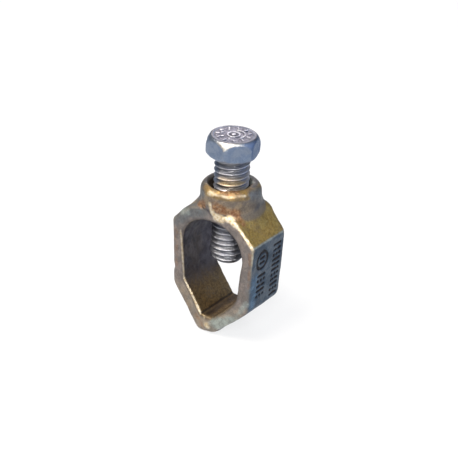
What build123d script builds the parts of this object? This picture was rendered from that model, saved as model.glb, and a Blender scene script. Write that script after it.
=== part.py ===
from build123d import *
import os
from math import cos, pi, radians, tan

os.makedirs("parts", exist_ok=True)

# Screw connector that clamps a cable against an earth rod.
# Z runs up the clamping screw, X across the link, Y along the rod.
# The origin lies on the screw's axis, at mid depth, at the level of the body's outer bottom. Sizes in mm.

# ---- body: a closed link with a narrow nose below and a boss above ----
body_depth = 15.0
roof_height = 37.0
roof_half_width = 6.4
shoulder_height = 30.7
shoulder_half_width = 13.2
hip_height = 11.0
hip_half_width = 12.5
nose_half_width = 3.0
roof_round = 4.5
shoulder_round = 2.0
hip_round = 4.0
nose_round = 3.6

# window inside the link
ceiling_height = 33.8
arch_half_width = 10.4
arch_round = 8.5
window_low_height = 13.3
window_low_half_width = 8.6
groove_height = 4.7
groove_half_width = 1.8
window_low_round = 3.0
groove_round = 0.9

outer_edge_round = 0.9
window_edge_round = 0.6

# boss
boss_radius = 8.0
boss_top = 43.4
boss_rim_round = 2.1
boss_foot_height = 37.8
boss_foot_inset = 0.7
flare_height = 39.6
flare_radius = 10.2
flare_foot_height = 34.1
mouth_chamfer = 0.7

# ---- screw: 3/8 inch, 16 threads to the inch, threaded all along ----
thread_major = 9.525
thread_pitch = 25.4 / 16
thread_depth = 0.6134 * thread_pitch
thread_crest_flat = thread_pitch / 8
thread_root_flat = thread_pitch / 4
bore_clearance = 0.08
screw_tip_height = 20.5
screw_length = 30.6
tip_cone_angle = 50
tip_cone_reach = 0.4
ridge_buried = 0.15

# hexagonal head
head_across_flats = 12.7
head_height = 5.3
head_corner_round = 0.4
head_face_radius = 5.5
head_rim_height = 0.35
head_seat_radius = 6.3
head_turn = 46.8

# ---- values that follow from the ones above ----
thread_radius = thread_major / 2
core_radius = thread_radius - thread_depth
bore_radius = thread_radius + bore_clearance
head_seat = screw_tip_height + screw_length
head_top = head_seat + head_height
head_corner_radius = head_across_flats / 2 / cos(pi / 6)


def half_outline(points):
    """Mirror a list of right-hand points about the screw's axis into a closed outline."""
    left = [(-x, z) for x, z in reversed(points)]
    return points + left


outer_points = half_outline(
    [
        (nose_half_width, 0),
        (hip_half_width, hip_height),
        (shoulder_half_width, shoulder_height),
        (roof_half_width, roof_height),
    ]
)
window_points = half_outline(
    [
        (groove_half_width, groove_height),
        (window_low_half_width, window_low_height),
        (arch_half_width, ceiling_height),
    ]
)


def corners_near(sketch, height, reach=0.01):
    """The pair of outline corners that lie at one height."""
    return [v for v in sketch.vertices() if abs(v.Y - height) < reach]


# ---- the cast body ----
with BuildPart() as clamp_body:
    with BuildSketch(Plane.XZ) as outer_profile:
        with BuildLine():
            Polyline(*outer_points, close=True)
        make_face()
        fillet(corners_near(outer_profile, 0), nose_round)
        fillet(corners_near(outer_profile, hip_height), hip_round)
        fillet(corners_near(outer_profile, shoulder_height), shoulder_round)
        fillet(corners_near(outer_profile, roof_height), roof_round)
    extrude(amount=body_depth / 2, both=True)
    front_and_back = clamp_body.faces().filter_by(Axis.Y)
    fillet(front_and_back.edges(), outer_edge_round)

    with BuildSketch(Plane.XZ) as window_profile:
        with BuildLine():
            Polyline(*window_points, close=True)
        make_face()
        fillet(corners_near(window_profile, groove_height), groove_round)
        fillet(corners_near(window_profile, window_low_height), window_low_round)
        fillet(corners_near(window_profile, ceiling_height), arch_round)
    extrude(amount=body_depth, both=True, mode=Mode.SUBTRACT)
    front_and_back = clamp_body.faces().filter_by(Axis.Y)
    window_edges = [
        e
        for f in front_and_back
        for w in f.inner_wires()
        for e in w.edges()
    ]
    fillet(window_edges, window_edge_round)


# ---- concave flare that carries the boss into the sloping shoulders ----
with BuildPart() as boss_flare:
    with BuildSketch(Plane.XZ) as flare_profile:
        with BuildLine():
            flare_top = Line((0, flare_height), (boss_radius, flare_height))
            flare_arc = TangentArc(flare_top @ 1, (flare_radius, flare_foot_height), tangent=(0, -1))
            Polyline(
                flare_arc @ 1,
                (flare_radius + 0.3, ceiling_height + 0.15),
                (0, ceiling_height + 0.15),
                flare_top @ 0,
            )
        make_face()
    revolve(axis=Axis.Z)
    with Locations((0, 0, ceiling_height)):
        Box(
            4 * boss_radius,
            body_depth - 1.3 * outer_edge_round,
            4 * boss_radius,
            mode=Mode.INTERSECT,
        )

# ---- boss, bore and mouth ----
with clamp_body:
    add(boss_flare.part)
    with BuildSketch(Plane.XZ) as boss_profile:
        with BuildLine():
            Polyline(
                (0, ceiling_height + 0.3),
                (boss_radius - boss_foot_inset, ceiling_height + 0.9),
                (boss_radius, boss_foot_height),
                (boss_radius, boss_top),
                (0, boss_top),
                close=True,
            )
        make_face()
        rim_corner = boss_profile.vertices().sort_by(lambda v: v.X + v.Y)[-1]
        fillet(rim_corner, boss_rim_round)
    revolve(axis=Axis.Z)
    with BuildSketch(Plane.XY.offset(boss_top)):
        Circle(bore_radius)
    extrude(amount=-(boss_top - ceiling_height + 1), mode=Mode.SUBTRACT)
    mouth = clamp_body.edges().filter_by(GeomType.CIRCLE).group_by(Axis.Z)[-1].sort_by(SortBy.RADIUS)[0]
    chamfer(mouth, mouth_chamfer)

clamp_body.part.label = "clamp_body"
export_step(clamp_body.part, "parts/clamp_body.step")


# ---- screw: helical ridge first, then its core, head and tip ----
thread_slope = (thread_pitch - thread_crest_flat - thread_root_flat) / 2 / thread_depth
ridge_foot = (thread_pitch - thread_root_flat) / 2 + ridge_buried * thread_slope
tip_face_radius = core_radius - 0.3
tip_cone_height = (thread_radius + tip_cone_reach - tip_face_radius) / tan(radians(90 - tip_cone_angle))

with BuildPart() as thread_ridge:
    with BuildLine() as thread_path:
        Helix(
            pitch=thread_pitch,
            height=screw_length - 0.2,
            radius=core_radius,
            center=(0, 0, screw_tip_height),
        )
    ridge_plane = Plane(origin=thread_path.line @ 0, x_dir=(1, 0, 0), z_dir=thread_path.line % 0)
    with BuildSketch(ridge_plane) as ridge_profile:
        with BuildLine():
            Polyline(
                (-ridge_buried, -ridge_foot),
                (thread_depth, -thread_crest_flat / 2),
                (thread_depth, thread_crest_flat / 2),
                (-ridge_buried, ridge_foot),
                close=True,
            )
        make_face()
    sweep(path=thread_path.line, is_frenet=True)
    # the starting cone at the tip: the thread grows out of it
    with BuildSketch(Plane.XZ):
        with BuildLine():
            Polyline(
                (0, screw_tip_height),
                (tip_face_radius, screw_tip_height),
                (thread_radius + tip_cone_reach, screw_tip_height + tip_cone_height),
                (thread_radius + tip_cone_reach, screw_tip_height - thread_pitch),
                (0, screw_tip_height - thread_pitch),
                close=True,
            )
        make_face()
    revolve(axis=Axis.Z, mode=Mode.SUBTRACT)

with BuildPart() as screw_head:
    with BuildSketch(Plane.XY.offset(head_seat)):
        RegularPolygon(radius=head_corner_radius, side_count=6, rotation=head_turn)
    extrude(amount=head_height + head_rim_height)
    fillet(screw_head.edges().filter_by(Axis.Z), head_corner_round)
    with BuildSketch(Plane.XZ):
        with BuildLine():
            seat_line = Line((0, head_seat), (head_seat_radius, head_seat))
            wall = Polyline(
                seat_line @ 1,
                (head_corner_radius + 0.2, head_seat + 1.0),
                (head_corner_radius + 0.2, head_seat + 0.5 * head_height),
            )
            crown = ThreePointArc(
                wall @ 1,
                (head_corner_radius - 0.5, head_top - 1.0),
                (head_face_radius + 0.35, head_top + head_rim_height - 0.1),
            )
            rim = ThreePointArc(
                crown @ 1,
                (head_face_radius + 0.1, head_top + head_rim_height),
                (head_face_radius - 0.25, head_top),
            )
            Polyline(rim @ 1, (0, head_top), seat_line @ 0)
        make_face()
    revolve(axis=Axis.Z, mode=Mode.INTERSECT)

with BuildPart() as screw:
    with BuildSketch(Plane.XZ):
        with BuildLine():
            Polyline(
                (0, screw_tip_height),
                (tip_face_radius, screw_tip_height),
                (core_radius, screw_tip_height + 0.3),
                (core_radius, head_seat + 1.0),
                (0, head_seat + 1.0),
                close=True,
            )
        make_face()
    revolve(axis=Axis.Z)
    add(thread_ridge.part)
    add(screw_head.part)

screw.part.label = "screw"
export_step(screw.part, "parts/screw.step")
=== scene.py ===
# %% [markdown]
# # Earth rod clamp: cast link and clamping screw
# The part is a closed link cast in brass, with a boss on top that carries a hexagon-head screw.
# The imported CAD model gives every size and place. This script adds what a caster, a press and some
# years in a toolbox leave on the metal: a rough skin, worn edges and plating. It also paints shade
# into the corners and hollows, and highlights and reflections onto some edges and faces.
# Lengths are in millimetres until a piece is finished: x runs across the link, y to the back, z up.

import math

import bmesh
import bpy
import numpy as np
from mathutils import Matrix, Vector, noise


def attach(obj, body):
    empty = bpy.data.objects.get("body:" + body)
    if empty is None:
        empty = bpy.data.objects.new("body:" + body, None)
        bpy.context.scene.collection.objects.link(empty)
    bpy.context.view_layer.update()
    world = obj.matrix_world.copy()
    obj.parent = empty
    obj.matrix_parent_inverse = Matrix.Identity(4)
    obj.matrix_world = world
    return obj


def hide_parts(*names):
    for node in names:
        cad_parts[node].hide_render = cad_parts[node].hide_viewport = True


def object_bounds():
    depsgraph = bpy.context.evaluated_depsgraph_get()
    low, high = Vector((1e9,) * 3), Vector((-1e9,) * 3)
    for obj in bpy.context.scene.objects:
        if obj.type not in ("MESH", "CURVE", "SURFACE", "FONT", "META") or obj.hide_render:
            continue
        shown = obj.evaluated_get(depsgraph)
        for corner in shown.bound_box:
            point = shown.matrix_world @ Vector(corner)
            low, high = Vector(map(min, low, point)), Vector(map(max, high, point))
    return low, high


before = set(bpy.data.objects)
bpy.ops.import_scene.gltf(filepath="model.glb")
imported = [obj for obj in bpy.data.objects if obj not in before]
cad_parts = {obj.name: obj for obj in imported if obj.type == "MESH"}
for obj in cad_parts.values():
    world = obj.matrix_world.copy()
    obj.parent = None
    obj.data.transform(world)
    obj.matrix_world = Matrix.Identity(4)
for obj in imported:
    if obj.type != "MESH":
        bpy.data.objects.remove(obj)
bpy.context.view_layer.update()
MM = 0.001

# %% [markdown]
# ## Skins
# A cast or forged surface has no sharp line anywhere, while a CAD solid is made of nothing else.
# A voxel remesh lays an even grid over a merged copy of the solid, and a little smoothing then
# rounds every edge by the size of the grid. The even grid can also be pushed in and out like clay.
# The copy stands for the CAD node, which stays in the simulation, hidden.

# %% Cast body: an even grid
BODY_VOXEL = 0.24


def grid_copy(node_name, voxel_mm, smooth_passes):
    """An even, smoothed grid over a CAD node, in millimetres, as a bmesh."""
    shell = bmesh.new()
    shell.from_mesh(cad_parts[node_name].data)
    bmesh.ops.remove_doubles(shell, verts=shell.verts, dist=2e-6)
    bmesh.ops.scale(shell, vec=(1 / MM,) * 3, verts=shell.verts)
    mesh = bpy.data.meshes.new("grid")
    shell.to_mesh(mesh)
    shell.free()
    grid = bpy.data.objects.new("grid", mesh)
    bpy.context.scene.collection.objects.link(grid)
    remesh = grid.modifiers.new("even_grid", "REMESH")
    remesh.mode = "VOXEL"
    remesh.voxel_size = voxel_mm
    graph = bpy.context.evaluated_depsgraph_get()
    even = bpy.data.meshes.new_from_object(grid.evaluated_get(graph))
    bpy.data.objects.remove(grid)
    skin = bmesh.new()
    skin.from_mesh(even)
    for _ in range(smooth_passes):
        bmesh.ops.smooth_vert(
            skin, verts=skin.verts, factor=0.5, use_axis_x=True, use_axis_y=True, use_axis_z=True
        )
    skin.normal_update()
    return skin


body_skin = grid_copy("clamp_body", BODY_VOXEL, smooth_passes=2)
print("cast grid has", len(body_skin.verts), "points")

# %% [markdown]
# ### The grid as arrays
# The grid has many thousands of points. NumPy works on all of them at once, so each measure of the
# surface below is one line on arrays instead of a slow loop over vertices.

# %% Cast body: arrays
def arrays_of(skin):
    """Places and normals of a bmesh's vertices, and its edges, as arrays."""
    places = np.array([v.co[:] for v in skin.verts])
    normals = np.array([v.normal[:] for v in skin.verts])
    skin.verts.index_update()
    edges = np.array([[e.verts[0].index, e.verts[1].index] for e in skin.edges])
    return places, normals, edges


places, normals, edges = arrays_of(body_skin)
px, py, pz = places.T
nx, ny, nz = normals.T
print("lowest point", round(pz.min(), 2), "highest", round(pz.max(), 2))

# %% [markdown]
# ### Zones of the casting
# The flats, the shoulders and the neck of the casting weather in their own ways. The inside walls
# and the mouth get painted shade, the sides a painted cold reflection, and the rim and neck on the
# front of the boss painted light.
# A zone is a number from 0 to 1 at each point, worked out from where the point lies and which way
# it faces. Soft steps keep the borders from looking painted with a ruler. A band is a pair of
# heights, or of distances, between which a zone begins or ends.

# %% Cast body: zones by place and facing
WINDOW_MIDDLE = 20
BORE_REACH = 5.3
LEFT_SHARE = 0.35
FACE_TOP, SIDE_TOP = (38.0, 39.0), (30.2, 31.2)
SHOULDER_FOOT, NECK_FOOT, RIM_FOOT = (28.5, 30.0), (36.6, 38.4), (40.9, 41.9)
MOUTH_FOOT, MOUTH_EDGE = (40.0, 41.0), (BORE_REACH, 5.9)
ROOT_FOOT, ROOT_TOP, ROOT_FRONT = (33.2, 35.0), (39.5, 40.6), (-7.2, -5.6)
NOSE_TOP, SEAT_TOP, LOW_FRONT_TOP = (1.0, 4.5), (7.0, 16.5), (8.0, 15.0)
SLOPING = (0.42, 0.6)


def smooth_step(low, high, values):
    """0 below low, 1 above high, and an easy curve between."""
    t = np.clip((values - low) / (high - low), 0, 1)
    return t * t * (3 - 2 * t)


inward = nx * -px + nz * (WINDOW_MIDDLE - pz)
boss_reach = np.hypot(px, py)
towards_front = (0.45 * px - 0.89 * py) / np.maximum(boss_reach, 0.1)
left_weight = np.where(px > 0, 1.0, LEFT_SHARE)
outer = 1 - smooth_step(0.5, 2.0, inward)
inside = smooth_step(1.0, 4.0, inward)
facing = smooth_step(0.55, 0.85, np.abs(ny)) * (1 - smooth_step(*FACE_TOP, pz))
shoulder = smooth_step(*SLOPING, np.abs(nx)) * smooth_step(*SLOPING, nz)
shoulder *= smooth_step(*SHOULDER_FOOT, pz)
shoulder *= (1 - facing) * left_weight
side = smooth_step(0.6, 0.85, np.abs(nx)) * (1 - inside) * (1 - smooth_step(*SIDE_TOP, pz))
neck = smooth_step(*NECK_FOOT, pz) * (1 - facing)
front_of_boss = smooth_step(0.2, 0.7, towards_front)
# painted highlight: the rim on the front of the boss, towards camera and lamps, is coloured lighter
lit_rim = smooth_step(*RIM_FOOT, pz) * front_of_boss
# painted shade: the mouth of the bore is coloured dark
mouth_shade = smooth_step(*MOUTH_FOOT, pz) * (1 - smooth_step(*MOUTH_EDGE, boss_reach))
root = smooth_step(*ROOT_FOOT, pz) * (1 - smooth_step(*ROOT_TOP, pz))
root *= smooth_step(*ROOT_FRONT, py)
nose = 1 - smooth_step(*NOSE_TOP, pz)
seat_wall = inside * (1 - smooth_step(*SEAT_TOP, pz))
low_front = facing * (1 - smooth_step(*LOW_FRONT_TOP, pz))
# painted light: the neck on the front of the boss is coloured lighter than its sides
lit_neck_front = neck * front_of_boss
print("points facing front or back", int((facing > 0.5).sum()), "inside", int((inside > 0.5).sum()))

# %% [markdown]
# ### Soft borders
# Where the boss flares out into the shoulders, zones would meet in a hard line. A relaxing filter
# draws each number towards its neighbours on the grid, a few times over. The same filter later
# fills corners of the casting itself, because it works on any columns of numbers.

# %% Cast body: relaxed zones
BORDER_PASSES = 6
FOOT_X, FOOT_HEIGHT = 10.2, 33.4
FOOT_REACH, FOOT_DEPTH = 1.3, 2.6


def relax(places, edges, weights, passes):
    """Draws each point towards its neighbours by its weight, which fills corners and rounds edges."""
    count = len(places)
    a, b = edges[:, 0], edges[:, 1]
    degree = np.bincount(a, minlength=count) + np.bincount(b, minlength=count)
    soft = places.copy()
    for _ in range(passes):
        for axis in range(soft.shape[1]):
            column = soft[:, axis]
            total = np.bincount(a, weights=column[b], minlength=count)
            total += np.bincount(b, weights=column[a], minlength=count)
            soft[:, axis] = column + weights * (total / degree - column)
    return soft


foot_across = np.hypot(np.abs(px) - FOOT_X, pz - FOOT_HEIGHT) / FOOT_REACH
foot_reach = np.hypot(foot_across, py / FOOT_DEPTH)
flare_foot = np.exp(-(foot_reach**2)) * outer
foot_cover = np.clip(1.6 * flare_foot, 0, 1)
shoulder = np.maximum(shoulder, foot_cover * left_weight)
zones = np.stack([facing, shoulder, side, neck, inside, seat_wall, low_front, lit_neck_front], axis=1)
zones = relax(zones, edges, 1.0, passes=BORDER_PASSES)
facing, shoulder, side, neck, inside, seat_wall, low_front, lit_neck_front = zones.T
print("points on the shoulders", int((shoulder > 0.5).sum()))

# %% [markdown]
# ### Three sizes of roughness
# Sand, gas and uneven cooling leave long waves, lumps and a fine grain on a casting. Soft noise of
# three sizes stands for them. Lumps and grain together also make the border of a stain ragged.

# %% Cast body: noise
WAVE_SIZE, LUMP_SIZE, GRAIN_SIZE = 5.0, 1.9, 0.75


def noise_field(places, size_mm, seed):
    """Soft noise from about -1 to 1 with lumps of one size."""
    shift = Vector((seed * 17.3, seed * 5.1, seed * 9.7))
    return np.array([noise.noise(Vector(p) / size_mm + shift) for p in places])


waves = noise_field(places, WAVE_SIZE, 1)
lumps = noise_field(places, LUMP_SIZE, 2)
grain = noise_field(places, GRAIN_SIZE, 3)
rag = 0.5 * lumps + 0.35 * grain
print("waves run from", round(waves.min(), 2), "to", round(waves.max(), 2))

# %% [markdown]
# ### Strokes
# Handling and rust follow lines and spots on the surface, and so do the painted highlights, shade
# and reflections drawn here. Each one is a path with a width and a most, like a stroke of a brush:
# it covers the points near the path, and noise makes its border ragged. A path is a few places on
# the casting, whose front face lies at y -7.5.

# %% Strokes: the helper
PLAIN_RAG = 0.45
stains_and_painted_light = {}


def line_distance(places, path):
    """Distance in mm from each place to a path of straight lines."""
    nearest = np.full(len(places), 99.0)
    for start, end in zip(path, path[1:]):
        start, end = np.array(start), np.array(end)
        along = end - start
        share = np.clip((places - start) @ along / (along @ along), 0, 1)
        nearest = np.minimum(nearest, np.linalg.norm(places - start - share[:, None] * along, axis=1))
    return nearest


def stroke_cover(name, strokes, ragged=PLAIN_RAG):
    """How much a stain, a painted highlight or painted shade covers each point: the most of all its
    strokes.
    """
    cover = np.zeros(len(places))
    for path, width, most in strokes:
        near = np.exp(-((line_distance(places, path) / width) ** 2))
        cover = np.maximum(cover, most * np.clip(near * (1 + ragged * rag), 0, 1))
    print(name, "covers", int((cover > 0.5).sum()), "points")
    return cover


middle = line_distance(places[:1], ((0, 0, 0), (0, 0, BORE_REACH)))
print("first point lies", round(float(middle[0]), 1), "mm from the foot of the middle line")

# %% [markdown]
# ### Rubbed edges and painted highlights
# The rod, the cable and fingers rub the front edges of the window, the roof and the rim back to
# bright metal. A worn edge is never even, so each stretch has its own width and strength. Some
# strokes are painted highlights as well: the bright lines along the crest of the rim and the top
# front edges, and the bright spot on the nose.

# %% Rubbed edges and painted highlights
WEAR_AND_HIGHLIGHT_STROKES = (
    (((-0.8, -7.9, 39.4), (-0.6, -8.0, 38.2), (-0.3, -7.9, 36.9)), 0.7, 0.75),
    (((0.8, -7.5, 35.7), (3.0, -7.5, 35.6)), 0.9, 0.85),
    (((0.0, -7.9, 37.4), (0.4, -7.6, 36.6), (2.9, -7.5, 36.4)), 0.9, 0.9),
    (((2.9, -7.5, 36.5), (5.5, -7.5, 36.3), (7.6, -7.3, 35.4)), 0.75, 1.0),
    (((4.6, -7.2, 36.9), (5.8, -6.9, 36.7)), 0.9, 0.9),
    (((7.6, -7.3, 35.4), (9.9, -7.2, 33.5), (12.9, -7.2, 30.5)), 0.48, 0.85),
    (((12.9, -7.2, 30.5), (12.9, -7.3, 24.0)), 0.4, 0.45),
    (((-8.7, -7.4, 13.6), (-2.2, -7.4, 4.8)), 0.4, 0.85),
    (((-10.3, -7.4, 28.0), (-8.8, -7.4, 14.0)), 0.4, 0.5),
    (((-1.4, -7.6, 42.2), (-0.4, -7.7, 42.3)), 0.8, 0.85),
    (((-0.4, -7.7, 42.3), (3.9, -6.7, 42.3), (6.8, -3.3, 42.5)), 0.5, 0.6),
    (((-5.4, -5.2, 43.1), (-2.6, -5.5, 43.3)), 0.4, 0.4),
    (((4.6, -1.2, 43.0), (4.9, 0.1, 43.0)), 0.4, 0.8),
    (((0.5, -7.9, 2.5), (0.9, -7.9, 2.1)), 0.95, 1.0),
    (((-1.2, -7.4, 4.7), (-0.6, -7.5, 4.1)), 0.45, 0.5),
)
stains_and_painted_light["wear_and_highlight"] = stroke_cover("wear_and_highlight", WEAR_AND_HIGHLIGHT_STROKES, ragged=0.5)

# %% [markdown]
# ### Slate and lichen tints, painted shade and painted highlights
# Old brass turns slate grey on sheltered parts and a pale grey-green where damp stands. The slate
# strokes on the left and right of the boss rim are painted shade. The pale strokes along the right
# edges of the link are painted highlights, and the one at the back of the boss top is a painted
# reflection of the sky. The strokes are wide and faint, since a tint has no clear edge.

# %% Slate and lichen tints, painted shade and painted highlights
SLATE_AND_SHADE_STROKES = (
    (((-12.0, -7.5, 31.0), (-8.5, -7.5, 34.4), (-4.0, -7.5, 36.0)), 2.4, 0.9),
    (((12.6, -7.5, 26.0), (12.2, -7.5, 14.0)), 1.6, 0.4),
    # these two strokes are painted shade on the left and right of the boss rim
    (((-4.0, -6.8, 41.2), (-5.6, -5.6, 41.0), (-7.9, -1.5, 41.2)), 1.6, 0.75),
    (((7.7, -1.2, 42.0), (7.6, 2.6, 41.8)), 1.6, 0.85),
)
LICHEN_AND_HIGHLIGHT_STROKES = (
    # these two strokes are painted highlights along the right edges of the link
    (((12.9, -7.2, 30.6), (13.2, 7.4, 30.7)), 0.4, 0.6),
    (((13.1, -7.2, 11.5), (13.1, -7.2, 29.0)), 0.45, 0.45),
    (((-11.0, -7.5, 33.6), (-8.2, -7.5, 34.4)), 1.2, 0.65),
    (((3.4, -7.5, 3.6), (8.5, -7.5, 6.6)), 2.1, 1.0),
    # painted reflection of the sky at the back of the boss top
    (((1.2, 5.4, 42.9), (3.4, 4.3, 42.9), (4.6, 3.0, 42.9)), 0.8, 1.0),
    (((8.5, -7.5, 6.6), (11.8, -7.5, 14.0)), 1.2, 0.55),
)
stains_and_painted_light["slate_and_shade"] = stroke_cover("slate_and_shade", SLATE_AND_SHADE_STROKES, ragged=0.8)
stains_and_painted_light["lichen_and_highlight"] = stroke_cover("lichen_and_highlight", LICHEN_AND_HIGHLIGHT_STROKES, ragged=0.8)

# %% [markdown]
# ### Rust, painted shade and a painted blue reflection
# Rust-brown stains lie on the boss under the screw. Painted shade darkens the seat groove, the gap
# at the mouth and the flanks of the boss, and two patches, on the right side and at the left of the
# boss, are a painted reflection of a cold blue sky.

# %% Rust, painted shade and painted reflection
RUST_STROKES = (
    (((0.9, -7.8, 38.9), (3.4, -7.0, 38.3), (5.8, -6.0, 37.6)), 1.7, 0.9),
    (((6.2, -5.6, 36.8), (7.6, -5.2, 35.4)), 1.3, 0.7),
    (((-3.0, -7.0, 38.4), (-4.8, -6.4, 37.4)), 1.2, 0.8),
    (((1.8, -6.2, 43.2), (5.0, -4.4, 43.2)), 0.8, 0.85),
    (((-0.6, -7.5, 1.0), (-3.4, -7.5, 4.2)), 1.1, 0.5),
    (((-11.8, -7.5, 28.0), (-11.4, -7.5, 17.0)), 0.9, 0.42),
    (((12.2, -7.5, 29.0), (12.4, -7.5, 19.0)), 0.7, 0.45),
    (((-9.0, -7.5, 9.6), (-5.6, -7.5, 4.8)), 0.8, 0.35),
    (((3.0, -6.8, 43.0), (6.0, -4.4, 42.7)), 0.6, 0.7),
    (((-1.0, -7.0, 4.6), (-1.0, 7.0, 4.6)), 1.0, 0.25),
)
# painted shade: the seat groove, the gap at the mouth and the flanks of the boss
PAINTED_SHADE_STROKES = (
    (((-1.9, -7.5, 5.0), (-1.9, 7.5, 5.0)), 0.45, 0.85),
    (((-0.6, -6.0, 4.7), (-0.2, 7.4, 4.7)), 1.7, 0.7),
    (((1.0, -5.0, 42.6), (4.6, -2.6, 42.6)), 0.5, 0.9),
    (((6.4, -4.2, 38.9), (7.9, -0.6, 38.7), (7.9, 1.4, 38.7)), 1.6, 0.4),
    (((-8.0, -2.0, 36.6), (-6.2, -5.0, 37.6)), 1.0, 0.4),
)
# painted cold blue reflection on the right side and at the left of the boss
BLUE_REFLECTION_STROKES = (
    (((13.2, -5.6, 12.5), (13.2, -5.4, 21.0)), 2.6, 0.7),
    (((-8.2, 0.0, 40.6), (-6.8, -4.2, 40.6)), 1.6, 0.45),
)
stains_and_painted_light["rust"] = stroke_cover("rust", RUST_STROKES, ragged=1.6)
stains_and_painted_light["painted_shade"] = stroke_cover("painted_shade", PAINTED_SHADE_STROKES)
stains_and_painted_light["blue_reflection"] = stroke_cover("blue_reflection", BLUE_REFLECTION_STROKES)

# %% [markdown]
# ### Sunk marks on the side
# Such a clamp has marks cast into its side. Here they are plain: a ring, bars and dots in two
# columns. Each mark is a distance test on the flat, and the grid sinks where the test says so.
# In a row's sign, a dash is a long bar, an equals sign two short ones and a colon three dots.

# %% Cast body: rows of bars and dots
BACK_COLUMN_Y = 4.0
FRONT_COLUMN_Y = -2.6
BACK_TOP, FRONT_TOP = 27.9, 20.9
FRONT_ROWS_SHIFT = 0.2
ROW_PITCH = 1.55
BACK_ROWS = "-=:-=-:=-:-"
FRONT_ROWS = "-:=-:"
LONG_BAR, SHORT_BAR, DOT = 1.45, 0.5, 0.08
bars = []
for column_y, top_z, rows in (
    (BACK_COLUMN_Y, BACK_TOP, BACK_ROWS),
    (FRONT_COLUMN_Y + FRONT_ROWS_SHIFT, FRONT_TOP, FRONT_ROWS),
):
    for row, sign in enumerate(rows):
        centre_z = top_z - ROW_PITCH * row
        if sign == "-":
            bars.append((column_y, centre_z, LONG_BAR, 0))
        elif sign == "=":
            bars += [(column_y + offset, centre_z, SHORT_BAR, 0) for offset in (-0.95, 0.95)]
        else:
            bars += [(column_y + offset, centre_z, DOT, DOT) for offset in (-1.35, 0, 1.35)]
print("bars and dots", len(bars))

# %% [markdown]
# ### The ring and the depth of the marks
# The ring is the set of points at one distance from its middle, a little taller than wide, and two
# bars lie in it. Noise is added to each distance, so that the walls come out soft and uneven, as
# those of a pattern pressed into sand do.

# %% Cast body: sunk marks
MARK_DEPTH = 0.34
MARK_HALF_WIDTH = 0.4
MARK_SOFT = 0.12
RING_HEIGHT = 25.6
RING_RADIUS = 2.3
RING_TALLER = 1.1


def bar_distance(y, z, centre_y, centre_z, half_y, half_z):
    """Distance from the middle line of a bar that lies along Y or Z."""
    dy = np.maximum(np.abs(y - centre_y) - half_y, 0)
    dz = np.maximum(np.abs(z - centre_z) - half_z, 0)
    return np.hypot(dy, dz)


ring_reach = np.hypot(py - FRONT_COLUMN_Y, (pz - RING_HEIGHT) / RING_TALLER)
mark_distance = np.abs(ring_reach - RING_RADIUS)
for offset in (-0.75, 0.75):
    bars.append((FRONT_COLUMN_Y, RING_HEIGHT + offset, 0.8, 0))
for bar in bars:
    mark_distance = np.minimum(mark_distance, bar_distance(py, pz, *bar))
mark_distance += 0.10 * lumps + 0.08 * grain
on_side = smooth_step(0.9, 0.97, nx) * smooth_step(11.0, 11.6, px)
mark = 1 - smooth_step(MARK_HALF_WIDTH - MARK_SOFT, MARK_HALF_WIDTH + MARK_SOFT, mark_distance)
mark *= on_side
print("points sunk", int((mark > 0.5).sum()))

# %% [markdown]
# ### Soft roots and worn edges
# Where the boss grows out of the link the mould was filled with a full, soft corner, so the points
# there are relaxed. An edge shows how far a point stands proud of its smoothed surroundings. The
# materials use this measure too: wear follows the edges, and the corners are painted darker as
# shade.

# %% Cast body: soft roots and edge measure
ROOT_PASSES, ROOT_PULL = 60, 0.6
EDGE_PASSES, EDGE_FULL = 14, 0.22


def edge_measure(places, normals, edges, passes, full_mm):
    """How far each point stands proud of its soft surroundings: 1 on an edge, -1 in a corner."""
    soft = relax(places, edges, 1.0, passes)
    proud = ((places - soft) * normals).sum(axis=1)
    return np.clip(proud / full_mm, -1, 1)


softness = np.maximum.reduce([root, 0.4 * nose, flare_foot])
places = relax(places, edges, ROOT_PULL * softness * outer, ROOT_PASSES)
body_edge = edge_measure(places, normals, edges, EDGE_PASSES, EDGE_FULL)
body_edge *= 1 - foot_cover
edge_band = smooth_step(0.15, 0.8, body_edge)
print("points on edges", int((edge_band > 0.5).sum()))

# %% [markdown]
# ### Waves, knocks and full corners
# Each point is pushed along its normal. Noise gives the waves and the grain, the edges are knocked
# back where lumps happen to lie, and a short list of beads and dents gives what the eye finds first.
# A dent is a place, a radius and a push. A full corner is the same in x and z, all along y.

# %% Cast body: the push
DENTS = (
    ((0.6, -7.5, 2.6), 1.15, 0.75),
    ((3.4, -7.4, 1.6), 1.3, -0.30),
    ((-4.9, -7.2, 3.9), 0.7, 0.2),
    ((12.6, -7.2, 24.5), 0.9, -0.22),
    ((-12.6, -7.0, 16.0), 1.0, -0.2),
    ((-5.2, -0.6, 42.9), 1.1, -0.2),
    ((7.8, 6.6, 36.6), 3.0, 1.1),
    ((7.9, 2.0, 41.6), 2.4, 0.25),
    ((4.9, 0.0, 43.2), 0.6, 0.3),
)
FULL_CORNERS = (
    ((-2.1, 0.2), 2.0, 0.5),
    ((-9.4, 34.6), 3.4, 0.65),
    ((-12.9, 29.8), 1.6, 0.15),
    ((5.5, 1.6), 3.2, -0.35),
)
BORE_PUSH = -0.02
BORE_FROM = 31
WAVE_PUSH, LUMP_PUSH, GRAIN_PUSH, EVEN_PUSH = 0.10, 0.055, 0.03, 0.04
KNOCK_PUSH, KNOCK_BIAS = 0.16, 0.25
push = WAVE_PUSH * waves + LUMP_PUSH * lumps + GRAIN_PUSH * grain + EVEN_PUSH
push -= edge_band * KNOCK_PUSH * np.clip(lumps + KNOCK_BIAS, 0, 1)
push -= MARK_DEPTH * mark
for centre, radius_mm, amount in DENTS:
    reach = np.linalg.norm(places - np.array(centre), axis=1) / radius_mm
    push += amount * np.exp(-reach * reach)
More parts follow.
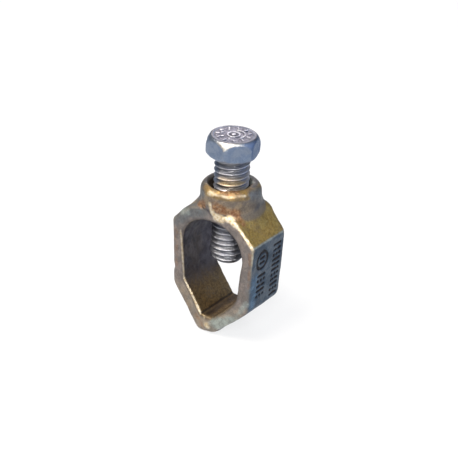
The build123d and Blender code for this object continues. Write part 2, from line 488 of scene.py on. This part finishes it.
for (centre_x, centre_z), radius_mm, amount in FULL_CORNERS:
    reach = np.hypot(px - centre_x, pz - centre_z) / radius_mm
    push += amount * np.exp(-reach * reach) * outer * (1 - facing)
bore_wall = (boss_reach < BORE_REACH) & (pz > BORE_FROM)
push[bore_wall] = np.minimum(push[bore_wall], BORE_PUSH)
places = places + normals * push[:, None]
print("push in mm from", round(push.min(), 2), "to", round(push.max(), 2))

# %% [markdown]
# ### Lean and sag
# A casting rarely comes out quite straight. The link is a little wider than the solid and stands a
# little aside under its boss, and its nose leans and sags. Only the skin shows this, and it fades
# out before the boss, so that the screw still runs true.

# %% Cast body: lean
NOSE_SHIFT_X = -0.95
NOSE_SAG_Z = -0.35
LINK_SHIFT_X = -0.1
LINK_WIDEN = 0.012
BOSS_FADE, SHIFT_FADE, SAG_FADE = (31.0, 38.0), (0.0, 12.0), (0.0, 6.0)
under_boss = 1 - smooth_step(*BOSS_FADE, pz)
places[:, 0] *= 1 + LINK_WIDEN * under_boss
places[:, 0] += LINK_SHIFT_X * under_boss
places[:, 0] += NOSE_SHIFT_X * (1 - smooth_step(*SHIFT_FADE, pz))
places[:, 2] += NOSE_SAG_Z * (1 - smooth_step(*SAG_FADE, pz))
print("link from", round(places[:, 0].min(), 2), "to", round(places[:, 0].max(), 2), "mm across")

# %% [markdown]
# ### Funnel at the mouth
# The mouth of the hole opens like a funnel on one side. The points there go down, and nothing stands
# above the boss, so that the head can come down to it at the lower end of the screw's travel.

# %% Cast body: funnel
FUNNEL_DEPTH = 1.5
FUNNEL_EDGE, FUNNEL_FOOT = (BORE_REACH, 6.7), (41.0, 43.0)
BOSS_TOP = 43.4
leftward = smooth_step(0.1, 0.9, (-0.72 * px - 0.69 * py) / np.maximum(boss_reach, 0.1))
funnel = 1 - smooth_step(*FUNNEL_EDGE, boss_reach)
funnel *= smooth_step(*FUNNEL_FOOT, pz) * leftward
places[:, 2] = np.minimum(places[:, 2], BOSS_TOP) - FUNNEL_DEPTH * funnel
# the funnel is painted dark as shade, like the rest of the mouth
mouth_shade = np.maximum(mouth_shade * (1 - stains_and_painted_light["lichen_and_highlight"]), smooth_step(0.25, 0.7, funnel))
print("points in the funnel", int((funnel > 0.5).sum()))

# %% [markdown]
# ### From arrays to an object
# The points go back into the bmesh, which is scaled to metres. The zones and stains are kept as
# attributes of the mesh, one number per point, where a material can read them by name. The piece
# rides on its body and stands for its CAD node.

# %% Cast body: the piece
def finish_skin(skin, places, name, node_name, body, layers):
    """Turns the pushed grid into an object in metres, with its measures as attributes."""
    for vert, place in zip(skin.verts, places):
        vert.co = place
    bmesh.ops.scale(skin, vec=(MM,) * 3, verts=skin.verts)
    bmesh.ops.recalc_face_normals(skin, faces=skin.faces)
    for face in skin.faces:
        face.smooth = True
    mesh = bpy.data.meshes.new(name)
    skin.to_mesh(mesh)
    skin.free()
    for layer, values in layers.items():
        attribute = mesh.attributes.new(layer, "FLOAT", "POINT")
        attribute.data.foreach_set("value", values.astype(np.float32))
    piece = bpy.data.objects.new(name, mesh)
    bpy.context.scene.collection.objects.link(piece)
    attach(piece, body)
    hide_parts(node_name)
    print(name, "has", len(mesh.polygons), "faces")
    return piece


cast_body = finish_skin(
    body_skin,
    places,
    "cast_body",
    "clamp_body",
    "clamp",
    {
        "edge": body_edge,
        "mark": mark,
        "facing": facing,
        "side": side,
        "shoulder": shoulder,
        "neck": neck,
        "lit_neck_front": lit_neck_front,
        "low_front": low_front,
        "lit_rim": lit_rim,
        "mouth_shade": mouth_shade,
        "inside": inside,
        "seat_wall": seat_wall,
        **stains_and_painted_light,
    },
)

# %% [markdown]
# ## The screw
# The thread was rolled and the head pressed, so crests and corners are round, not cut. The same
# grid is used, but finer, so that the thread's pitch of 1.59 mm stays clear. More passes of the
# relaxing filter round the head and leave the thread alone.

# %% Screw: grid and soft head
SCREW_VOXEL = 0.165
SCREW_EDGE_PASSES, SCREW_EDGE_FULL = 8, 0.14
HEAD_FOOT = (51.0, 51.5)
HEAD_PASSES, HEAD_PULL = 24, 0.6
screw_skin = grid_copy("screw", SCREW_VOXEL, smooth_passes=3)
places, normals, edges = arrays_of(screw_skin)
screw_edge = edge_measure(places, normals, edges, SCREW_EDGE_PASSES, SCREW_EDGE_FULL)
on_head = smooth_step(*HEAD_FOOT, places[:, 2])
places = relax(places, edges, HEAD_PULL * on_head, HEAD_PASSES)
print("screw grid has", len(places), "points")

# %% [markdown]
# ### Zones of the screw
# The crown of the head is dull. Its chamfer gets a painted highlight towards the front-left corner,
# and a line of painted shade runs round the dish. The flats and thread to the right get painted cold
# shade, the thread to the left a painted cold reflection, and the turns near the boss a painted
# reflection of its brass. Each is again a number from 0 to 1 at each point.

# %% Screw: zones
THREAD_RADIUS = 4.76
DISH_RIM_RADIUS, DISH_RIM_WIDTH = 5.75, 0.3
CROWN_FOOT, DISH_RIM_FOOT, UNDER_HEAD = (55.6, 56.0), (56.0, 56.3), (50.9, 51.4)
BOSS_CLEAR, NEAR_BOSS_FOOT, NEAR_BOSS_TOP = (42.0, 43.5), (41.5, 44.5), (44.5, 47.5)
sx, sy, sz = places.T
head_top = smooth_step(0.75, 0.95, normals[:, 2]) * smooth_step(*CROWN_FOOT, sz)
# painted highlight: the chamfer is coloured light towards the front-left corner only
chamfer_highlight = on_head * smooth_step(0.2, 0.4, normals[:, 2])
chamfer_highlight *= 1 - smooth_step(0.82, 0.92, normals[:, 2])
chamfer_highlight *= smooth_step(4.2, 6.6, 0.42 * sx - 0.91 * sy)
# painted shade: a dark line round the wall of the dish
dish_rim_shade = np.exp(-(((np.hypot(sx, sy) - DISH_RIM_RADIUS) / DISH_RIM_WIDTH) ** 2))
dish_rim_shade *= smooth_step(*DISH_RIM_FOOT, sz)
below_head = 1 - smooth_step(*UNDER_HEAD, sz)
above_boss = smooth_step(*BOSS_CLEAR, sz)
# painted cold shade on the flats and thread that face right
right_painted_shade = above_boss * smooth_step(0.5, 0.85, 0.9 * normals[:, 0] + 0.43 * normals[:, 1])
right_painted_shade *= 1 - head_top
# painted cold reflection on the left of the thread
left_thread_reflection = above_boss * below_head
left_thread_reflection *= smooth_step(0.45, 0.8, (-0.9 * sx - 0.43 * sy) / THREAD_RADIUS)
# painted reflection of the brass boss on the turns just above it, on the front
brass_reflection = smooth_step(*NEAR_BOSS_FOOT, sz) * (1 - smooth_step(*NEAR_BOSS_TOP, sz))
brass_reflection *= smooth_step(0.3, 0.8, (0.58 * sx - 0.82 * sy) / THREAD_RADIUS)
print("points on the crown", int((head_top > 0.5).sum()))

# %% [markdown]
# ### Marks of the press
# The die leaves the flats of the head a little lumpy and its crown a little full. The thread gets
# only a trace of this, or it would look bent. The seat of the head is kept flat and clear of the
# boss.

# %% Screw: the piece
HEAD_SEAT = 51.1
CROWN_FULL, CROWN_FADE = 0.1, (55.0, 56.0)
THREAD_LUMP, HEAD_LUMP = 1.6, 1.1
THREAD_PUSH, THREAD_EVEN = 0.018, -0.01
HEAD_PUSH, HEAD_EVEN = 0.05, 0.04
push = THREAD_PUSH * noise_field(places, THREAD_LUMP, 7) + THREAD_EVEN
push += on_head * (HEAD_PUSH * noise_field(places, HEAD_LUMP, 8) + HEAD_EVEN)
push += CROWN_FULL * smooth_step(*CROWN_FADE, sz)
places = places + normals * push[:, None]
places[:, 2] = np.where(on_head > 0.2, np.maximum(places[:, 2], HEAD_SEAT), places[:, 2])
plated_screw = finish_skin(
    screw_skin,
    places,
    "plated_screw",
    "screw",
    "clamping_screw",
    {
        "edge": screw_edge,
        "head_top": head_top,
        "chamfer_highlight": chamfer_highlight,
        "dish_rim_shade": dish_rim_shade,
        "thread": below_head,
        "right_painted_shade": right_painted_shade,
        "brass_reflection": brass_reflection,
        "left_thread_reflection": left_thread_reflection,
    },
)

# %% [markdown]
# ### Raised figure on the head: ring and stud
# The press leaves a raised figure in the shallow dish of the head. Here it is plain: a ring round a
# stud, and short bars. The ring starts as a disc whose lid is inset and sunk, which is how a
# modeller makes a tray. Each shape stands half in the dish and half out of it.

# %% Head figure: ring and stud
DISH_HEIGHT = 56.58
FIGURE_HEIGHT = 0.22
RING_OUTER, RING_WALL, STUD_RADIUS = 1.8, 0.5, 0.55
figure = bmesh.new()
for radius_mm, wall_mm in ((RING_OUTER, RING_WALL), (STUD_RADIUS, 0)):
    disc = bmesh.ops.create_cone(
        figure,
        cap_ends=True,
        segments=24,
        radius1=radius_mm,
        radius2=radius_mm,
        depth=2 * FIGURE_HEIGHT,
    )["verts"]
    bmesh.ops.translate(figure, vec=(0, 0, DISH_HEIGHT), verts=disc)
    lid = [f for f in figure.faces if f.normal.z > 0.9 and set(f.verts) <= set(disc)]
    if wall_mm:
        bmesh.ops.inset_region(figure, faces=lid, thickness=wall_mm)
        bmesh.ops.translate(figure, vec=(0, 0, -0.8 * FIGURE_HEIGHT), verts=list(lid[0].verts))
print("ring and stud have", len(figure.faces), "faces")

# %% [markdown]
# ### Raised figure on the head: bars
# Bars stand along an arc, in a ring and in half a ring. Each is a cube scaled, turned and moved to
# its place. In the rings they tilt one way and the other in turn, so that they look stamped.

# %% Head figure: bars
ARC_BARS, ARC_RADIUS, ARC_START, ARC_STEP = 9, 2.9, math.radians(-10), math.radians(14)
ARC_BAR_LENGTH, ARC_BAR_WIDTH, RING_BAR_WIDTH = 0.78, 0.36, 0.45
TILTS = (-0.2, 0.5)
BAR_RINGS = (
    (11, 4.2, 1.1, 0.2, 2 * math.pi),
    (4, 3.1, 0.8, 2.6, math.pi),
)


def add_bar(figure, ring_radius, angle, length, width, turn):
    """One raised bar in the dish, at a radius and an angle, in millimetres."""
    made = bmesh.ops.create_cube(figure, size=1)["verts"]
    bmesh.ops.scale(figure, vec=(length, width, 2 * FIGURE_HEIGHT), verts=made)
    bmesh.ops.rotate(figure, verts=made, matrix=Matrix.Rotation(turn, 3, "Z"))
    spot = (ring_radius * math.cos(angle), ring_radius * math.sin(angle), DISH_HEIGHT)
    bmesh.ops.translate(figure, vec=spot, verts=made)


for step in range(ARC_BARS):
    angle = ARC_START + ARC_STEP * step
    add_bar(figure, ARC_RADIUS, angle, ARC_BAR_LENGTH, ARC_BAR_WIDTH, angle + math.pi / 2)
for count, ring_radius, length, start, span in BAR_RINGS:
    for step in range(count):
        angle = start + span * step / count
        add_bar(figure, ring_radius, angle, length, RING_BAR_WIDTH, angle + TILTS[step % 2])
print("the figure has", len(figure.faces), "faces before its edges are rounded")

# %% [markdown]
# ### Raised figure on the head: the piece
# A bevel rounds all edges at once. The figure rides on the screw's body and stands for no CAD node.
# An attribute tells its material the tops, painted light as a highlight, from the foot, painted
# dark as shade.

# %% Head figure: the piece
FIGURE_ROUND = 0.09
bmesh.ops.recalc_face_normals(figure, faces=figure.faces)
bmesh.ops.bevel(
    figure,
    geom=figure.edges,
    offset=FIGURE_ROUND,
    segments=2,
    affect="EDGES",
    profile=0.5,
    material=-1,
)
bmesh.ops.scale(figure, vec=(MM,) * 3, verts=figure.verts)
for face in figure.faces:
    face.smooth = True
figure_mesh = bpy.data.meshes.new("head_figure")
figure.to_mesh(figure_mesh)
figure.free()
head_figure = bpy.data.objects.new("head_figure", figure_mesh)
bpy.context.scene.collection.objects.link(head_figure)
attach(head_figure, "clamping_screw")
# +1 on the tops for a painted highlight, -1 at the foot for painted shade
figure_light_and_shade = figure_mesh.attributes.new("figure_light_and_shade", "FLOAT", "POINT")
lid_height = (DISH_HEIGHT + 0.3 * FIGURE_HEIGHT) * MM
tops = [1.0 if v.co.z > lid_height else -1.0 for v in figure_mesh.vertices]
figure_light_and_shade.data.foreach_set("value", tops)
print("head figure has", len(figure_mesh.polygons), "faces, points on top", tops.count(1.0))

# %% [markdown]
# ## Materials
# A material is a small network of nodes. Colours are written as sRGB hex values, as a colour picker
# shows them, and turned to linear light here. One helper adds a node with its settings and links.

# %% Colours and nodes
def linear(code):
    """sRGB hex colour to linear RGBA."""
    channels = [int(code[i : i + 2], 16) / 255 for i in (1, 3, 5)]
    return [c / 12.92 if c <= 0.04045 else ((c + 0.055) / 1.055) ** 2.4 for c in channels] + [1]


def add_node(tree, kind, inputs=None, output=None, **settings):
    """Adds a node with its settings, values and links. Gives one of its outputs if asked for."""
    made = tree.nodes.new(kind)
    for key, value in settings.items():
        setattr(made, key, value)
    for key, value in (inputs or {}).items():
        if isinstance(value, bpy.types.NodeSocket):
            tree.links.new(value, made.inputs[key])
        else:
            made.inputs[key].default_value = value
    return made if output is None else made.outputs[output]


print("middle grey in linear light", round(linear("#808080")[0], 3))

# %% [markdown]
# ### A metal in many tones
# Old metal is one metal under many thin skins. So one tone is laid over another, each where a
# measure of the piece or a pattern says so. A tone is: the measure, where it starts, where it is
# full, its share, its pattern and the two colours that the pattern mixes.
# A pattern is noise with a size in millimetres on the piece's own coordinates, so it stays in place
# when the screw moves. The two finest patterns also make the bumps.

# %% A metal in many tones
NOISE_ROUGHNESS = 0.6
BUMP_STRENGTH = 0.5


def metal_finish(name, start, sizes, layers, metallic, roughness, rough_spread, bump_mm):
    """A metal whose tones are laid one over another, each where a measure of the skin says so."""
    finish = bpy.data.materials.new(name)
    finish.use_nodes = True
    tree = finish.node_tree
    tree.nodes.clear()
    coords = add_node(tree, "ShaderNodeTexCoord", output="Object")
    mm = add_node(tree, "ShaderNodeMapping", {"Vector": coords, "Scale": (1 / MM,) * 3}, output=0)
    patterns = {}
    for pattern, (size_mm, detail, low, high) in sizes.items():
        spread = add_node(
            tree,
            "ShaderNodeTexNoise",
            {"Vector": mm, "Scale": 1 / size_mm, "Detail": detail, "Roughness": NOISE_ROUGHNESS},
            output="Fac",
        )
        patterns[pattern] = add_node(
            tree,
            "ShaderNodeMapRange",
            {"Value": spread, "From Min": low, "From Max": high},
            output=0,
            interpolation_type="SMOOTHSTEP",
        )
    colour = linear(start)
    for measure, low, high, most, pattern, code_one, code_two in layers:
        if measure in patterns:
            amount = patterns[measure]
        else:
            amount = add_node(tree, "ShaderNodeAttribute", output="Fac", attribute_name=measure)
        cover = add_node(
            tree,
            "ShaderNodeMapRange",
            {"Value": amount, "From Min": low, "From Max": high, "To Max": most},
            output=0,
            interpolation_type="SMOOTHSTEP",
        )
        tone = add_node(
            tree,
            "ShaderNodeMix",
            {0: patterns[pattern], 6: linear(code_one), 7: linear(code_two)},
            output=2,
            data_type="RGBA",
        )
        colour = add_node(
            tree, "ShaderNodeMix", {0: cover, 6: colour, 7: tone}, output=2, data_type="RGBA"
        )
    rough = add_node(
        tree,
        "ShaderNodeMapRange",
        {"Value": patterns["patchy"], "To Min": roughness, "To Max": roughness + rough_spread},
        output=0,
    )
    height = add_node(
        tree, "ShaderNodeMath", {0: patterns["fine"], 1: patterns["grit"]}, output=0, operation="ADD"
    )
    bump = add_node(
        tree,
        "ShaderNodeBump",
        {"Height": height, "Strength": BUMP_STRENGTH, "Distance": bump_mm * MM},
        output=0,
    )
    shader = add_node(
        tree,
        "ShaderNodeBsdfPrincipled",
        {"Base Color": colour, "Metallic": metallic, "Roughness": rough, "Normal": bump},
        output=0,
    )
    add_node(tree, "ShaderNodeOutputMaterial", {0: shader})
    print(name, "has", len(tree.nodes), "nodes and", len(layers), "tones")
    return finish


print("noise roughness", NOISE_ROUGHNESS, "bump strength", BUMP_STRENGTH)

# %% [markdown]
# ### Darkened cast brass
# Cast brass comes out golden under a thin brown and green-grey skin. Handling polishes the edges
# back to bright metal, and some bright lines on them are painted highlights. The corners, the inside
# walls and the mouth are painted darker as shade, and the sunk marks are near black. The outer flats
# and the shoulder each weathered to their own tone; the sides carry a painted cold reflection, and
# the rim and neck on the front of the boss are painted lighter as lit.
# A pattern below has its size in mm, its detail, and the noise that counts as none and as full.
# The real grain of sand is about 0.1 mm, too fine to show, so the grit is drawn at 0.3 mm.

# %% Darkened cast brass
BRASS_SIZES = {
    "coarse": (5.5, 3, 0.42, 0.60),
    "patchy": (2.2, 5, 0.38, 0.62),
    "fine": (0.7, 4, 0.36, 0.64),
    "grit": (0.3, 2, 0.40, 0.66),
}
BRASS_TONES = (
    ("facing", 0, 1, 1.0, "patchy", "#91857e", "#79726e"),
    ("low_front", 0, 1, 0.9, "patchy", "#a89884", "#8c8378"),
    # both outer sides painted a dark cold blue-grey, a painted sky reflection darker than the front
    ("side", 0, 1, 1.0, "coarse", "#404c58", "#546370"),
    ("neck", 0, 1, 1.0, "patchy", "#6f6a66", "#5a5c60"),
    # front of the boss neck painted lighter, as lit
    ("lit_neck_front", 0, 1, 0.9, "patchy", "#9a8870", "#776d63"),
    # painted cold blue reflection on the right side and at the left of the boss
    ("blue_reflection", 0.2, 0.9, 0.9, "patchy", "#5a7c98", "#4a657c"),
    ("shoulder", 0, 1, 1.0, "patchy", "#a58c47", "#7c6534"),
    ("shoulder", 0, 1, 0.5, "fine", "#b39a56", "#5d4926"),
    ("shoulder", 0, 1, 0.3, "grit", "#7f6230", "#c6b478"),
    # rim on the front of the boss painted golden and lighter, as a highlight
    ("lit_rim", 0, 1, 0.9, "patchy", "#a4864f", "#786446"),
    # slate tint, partly painted shade on the left and right of the boss rim
    ("slate_and_shade", 0.1, 0.8, 0.9, "fine", "#707577", "#5f6163"),
    # the inside walls are painted dark as shade
    ("inside", 0, 1, 1.0, "patchy", "#48454c", "#403c42"),
    ("seat_wall", 0, 1, 0.9, "fine", "#7f6843", "#54452f"),
    ("seat_wall", 0, 1, 0.3, "grit", "#4a3a26", "#a48a58"),
    ("rust", 0.15, 0.8, 0.9, "fine", "#774a2e", "#a98560"),
    # pale tint, partly painted highlights on the right edges and a painted reflection on the boss top
    ("lichen_and_highlight", 0.15, 0.8, 0.85, "patchy", "#b3bdb4", "#98a09b"),
    ("coarse", 0.5, 1, 0.18, "fine", "#6d5a42", "#7b756c"),
    ("grit", 0.55, 1, 0.35, "patchy", "#4b3d2c", "#5c5046"),
    ("edge", 0.35, 0.9, 0.35, "patchy", "#b8ab94", "#9a8d7c"),
    # rubbed edges, partly painted highlights on the rim crest, the top front edges and the nose
    ("wear_and_highlight", 0.12, 0.85, 0.95, "fine", "#ebe0c9", "#ccb48a"),
    # corners painted darker as shade
    ("edge", -0.15, -0.7, 0.75, "patchy", "#3a2c20", "#33302d"),
    # painted shade in the seat groove, the gap at the mouth and on the flanks of the boss
    ("painted_shade", 0.15, 0.8, 0.9, "patchy", "#2c211a", "#37302a"),
    # painted shade in the mouth of the bore and its funnel
    ("mouth_shade", 0, 1, 0.85, "patchy", "#35281c", "#241d18"),
    ("mark", 0.15, 0.7, 0.92, "fine", "#1d2025", "#33261d"),
)
cast_brass = metal_finish(
    "darkened_cast_brass",
    "#7d7161",
    BRASS_SIZES,
    BRASS_TONES,
    metallic=0.8,
    roughness=0.40,
    rough_spread=0.20,
    bump_mm=0.09,
)
cast_body.data.materials.append(cast_brass)

# %% [markdown]
# ### Bright plated steel
# Zinc plating over rolled steel is a pale blue-grey metal with soft, short reflections. The roots of
# the thread and the corners are painted darker as shade, the crests and edges lighter as a painted
# highlight, and the pressed crown of the head is duller and a little violet.
# The crystals of real plating are too fine to show, so the grit is again drawn at 0.3 mm.

# %% Bright plated steel
STEEL_SIZES = {
    "patchy": (2.4, 4, 0.36, 0.64),
    "fine": (0.6, 4, 0.36, 0.64),
    "grit": (0.3, 2, 0.40, 0.66),
}
STEEL_TONES = (
    ("patchy", 0, 1, 0.7, "fine", "#7f8ea6", "#76869e"),
    ("thread", 0, 1, 0.85, "patchy", "#a9a8aa", "#9a9aa2"),
    # painted golden reflection of the brass boss
    ("brass_reflection", 0, 1, 0.8, "fine", "#cdb58a", "#b39c76"),
    # painted cold shade on the right of the head and thread
    ("right_painted_shade", 0, 1, 0.85, "patchy", "#4b6080", "#586c8c"),
    # painted cold reflection on the left of the thread
    ("left_thread_reflection", 0, 1, 0.7, "patchy", "#7688a6", "#66748c"),
    # painted highlight on the chamfer near the front-left corner
    ("chamfer_highlight", 0, 1, 0.85, "patchy", "#dcd6ca", "#b9b4ac"),
    ("head_top", 0, 1, 0.95, "fine", "#a4a1a9", "#6f6d77"),
    # painted shade round the dish
    ("dish_rim_shade", 0.2, 1, 0.6, "patchy", "#4c4e58", "#60616b"),
    # painted highlight on the tops of the figure, then painted shade at its foot
    ("figure_light_and_shade", 0, 1, 1.0, "fine", "#f0eef2", "#ccc9d0"),
    ("figure_light_and_shade", -0.2, -1, 0.9, "fine", "#4d4a52", "#5c5961"),
    # painted shade in the thread roots and corners, then a painted highlight on crests and edges
    ("edge", 0.1, -0.6, 0.55, "fine", "#5a5650", "#6a6660"),
    ("edge", 0.3, 0.9, 0.5, "patchy", "#e8eaee", "#d8d6d2"),
)
plated_steel = metal_finish(
    "zinc_plated_steel",
    "#8e98a8",
    STEEL_SIZES,
    STEEL_TONES,
    metallic=1.0,
    roughness=0.30,
    rough_spread=0.16,
    bump_mm=0.05,
)
plated_screw.data.materials.append(plated_steel)
head_figure.data.materials.append(plated_steel)

# %% [markdown]
# ## Stage
# A small metal thing is best shown on a sheet of white paper, because polished metal shows what is
# around it. One grid face is enough for the sheet. It lies under the lowest point of the nose.

# %% Floor
FLOOR_REACH = 3
floor_mesh = bpy.data.meshes.new("floor")
sheet = bmesh.new()
bmesh.ops.create_grid(sheet, x_segments=1, y_segments=1, size=FLOOR_REACH)
sheet.to_mesh(floor_mesh)
sheet.free()
floor = bpy.data.objects.new("floor", floor_mesh)
bpy.context.scene.collection.objects.link(floor)
floor.location.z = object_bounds()[0][2]
print("floor at", round(floor.location.z / MM, 2), "mm")

# %% [markdown]
# ### White paper
# Lit paper alone would come out grey far from the lamps. So the paper is part lit and part glowing:
# the glow makes it white for the camera and pale blue in reflections, and the lit part keeps the
# shadow of the clamp.

# %% White paper
GLOW_SHARE = 0.78
paper = bpy.data.materials.new("white_paper")
paper.use_nodes = True
tree = paper.node_tree
tree.nodes.clear()
ray = add_node(tree, "ShaderNodeLightPath")
seen = add_node(
    tree,
    "ShaderNodeMath",
    {0: ray.outputs["Is Camera Ray"], 1: ray.outputs["Is Glossy Ray"]},
    output=0,
    operation="ADD",
    use_clamp=True,
)
share = add_node(
    tree, "ShaderNodeMath", {0: seen, 1: GLOW_SHARE}, output=0, operation="MULTIPLY"
)
lit = add_node(tree, "ShaderNodeBsdfDiffuse", {"Color": linear("#f2f2f2")}, output=0)
glow_tone = add_node(
    tree,
    "ShaderNodeMix",
    {0: ray.outputs["Is Camera Ray"], 6: linear("#d6dfeb"), 7: linear("#ffffff")},
    output=2,
    data_type="RGBA",
)
glow = add_node(tree, "ShaderNodeEmission", {"Color": glow_tone, "Strength": 1.0}, output=0)
both = add_node(tree, "ShaderNodeMixShader", {0: share, 1: lit, 2: glow}, output=0)
add_node(tree, "ShaderNodeOutputMaterial", {0: both})
floor.data.materials.append(paper)
print("white_paper has", len(tree.nodes), "nodes")

# %% [markdown]
# ### The room
# Metal takes most of its look from the room. This one is grey below, white above and blue to the
# right, which adds to the painted cold tone of the flats of the head and the sides of the link. The
# camera itself sees plain white.

# %% Room
ROOM_STRENGTH, SEEN_STRENGTH = 0.42, 1.0
world = bpy.data.worlds.new("pale_room")
bpy.context.scene.world = world
world.use_nodes = True
tree = world.node_tree
tree.nodes.clear()
coords = add_node(tree, "ShaderNodeTexCoord", output="Generated")
split = add_node(tree, "ShaderNodeSeparateXYZ", {0: coords})
camera_ray = add_node(tree, "ShaderNodeLightPath", output="Is Camera Ray")
upward = add_node(
    tree,
    "ShaderNodeMapRange",
    {"Value": split.outputs[2], "From Min": 0.1, "From Max": 0.95},
    output=0,
    interpolation_type="SMOOTHSTEP",
)
rightward = add_node(
    tree,
    "ShaderNodeMapRange",
    {"Value": split.outputs[0], "From Min": 0.2, "From Max": 0.9, "To Max": 0.8},
    output=0,
    interpolation_type="SMOOTHSTEP",
)
room = linear("#8e97a3")
for amount, code in ((upward, "#ffffff"), (rightward, "#6f86a6"), (camera_ray, "#ffffff")):
    room = add_node(
        tree, "ShaderNodeMix", {0: amount, 6: room, 7: linear(code)}, output=2, data_type="RGBA"
    )
strength = add_node(
    tree,
    "ShaderNodeMapRange",
    {"Value": camera_ray, "To Min": ROOM_STRENGTH, "To Max": SEEN_STRENGTH},
    output=0,
)
background = add_node(tree, "ShaderNodeBackground", {0: room, 1: strength}, output=0)
add_node(tree, "ShaderNodeOutputWorld", {0: background})
print("pale_room has", len(tree.nodes), "nodes")

# %% [markdown]
# ### Lamps
# Large lamps close by give soft shadows and wide, gentle highlights. The warm key stands high at the
# left, a white one fills the front, a cold one lights the right side and a weak one the back.
# A lamp shines along its own -Z, so its +Z is turned away from the clamp.

# %% Lamps
AIM = Vector((0, 0, 28 * MM))


def add_lamp(name, azimuth, elevation, distance, size, power, code):
    """A square soft lamp that looks at the clamp. Azimuth 0 is the front, -Y."""
    a, e = math.radians(azimuth), math.radians(elevation)
    direction = Vector((math.sin(a) * math.cos(e), -math.cos(a) * math.cos(e), math.sin(e)))
    data = bpy.data.lights.new(name, "AREA")
    data.size = size
    data.energy = power
    data.color = linear(code)[:3]
    lamp = bpy.data.objects.new(name, data)
    lamp.location = AIM + direction * distance
    lamp.rotation_euler = direction.to_track_quat("Z", "Y").to_euler()
    bpy.context.scene.collection.objects.link(lamp)
    print(name, "gives", power, "W from", distance, "m")


add_lamp("key_softbox", -20, 60, 0.6, 0.30, 5.0, "#fff6ea")
add_lamp("cool_softbox", 115, 25, 0.6, 0.30, 0.9, "#c4d8ff")
add_lamp("front_softbox", 32, 38, 0.7, 0.22, 3.0, "#ffffff")
add_lamp("back_softbox", 212, 30, 0.6, 0.40, 0.8, "#fbf6ff")

# %% [markdown]
# ### Camera
# The camera is told in terms that can be read: how far round, how far up, how far away and how much
# it is tilted. Its three axes follow from these and are the columns of its matrix. The Standard view
# shows colours as they are, without a film look.

# %% Camera
AZIMUTH, ELEVATION, ROLL = 35.31, 28.31, 2.9
DISTANCE = 299.5 * MM
TARGET = Vector((0, 0, 29.11 * MM))
SENSOR_MM = 36
LENS_MM = 88.050655
NEAREST_SEEN = 0.01
az, el, roll = (math.radians(v) for v in (AZIMUTH, ELEVATION, ROLL))
back = Vector((math.sin(az) * math.cos(el), -math.cos(az) * math.cos(el), math.sin(el)))
right = Vector((math.cos(az), math.sin(az), 0))
up = back.cross(right)
rolled_right = right * math.cos(roll) + up * math.sin(roll)
rolled_up = up * math.cos(roll) - right * math.sin(roll)
camera_data = bpy.data.cameras.new("camera")
camera_data.sensor_width = SENSOR_MM
camera_data.lens = LENS_MM
camera_data.clip_start = NEAREST_SEEN
camera = bpy.data.objects.new("camera", camera_data)
bpy.context.scene.collection.objects.link(camera)
turn = Matrix((rolled_right, rolled_up, back)).transposed().to_4x4()
camera.matrix_world = Matrix.Translation(TARGET + back * DISTANCE) @ turn
bpy.context.scene.camera = camera
bpy.context.scene.view_settings.view_transform = "Standard"
print("camera at", [round(c / MM) for c in camera.matrix_world.translation], "mm")
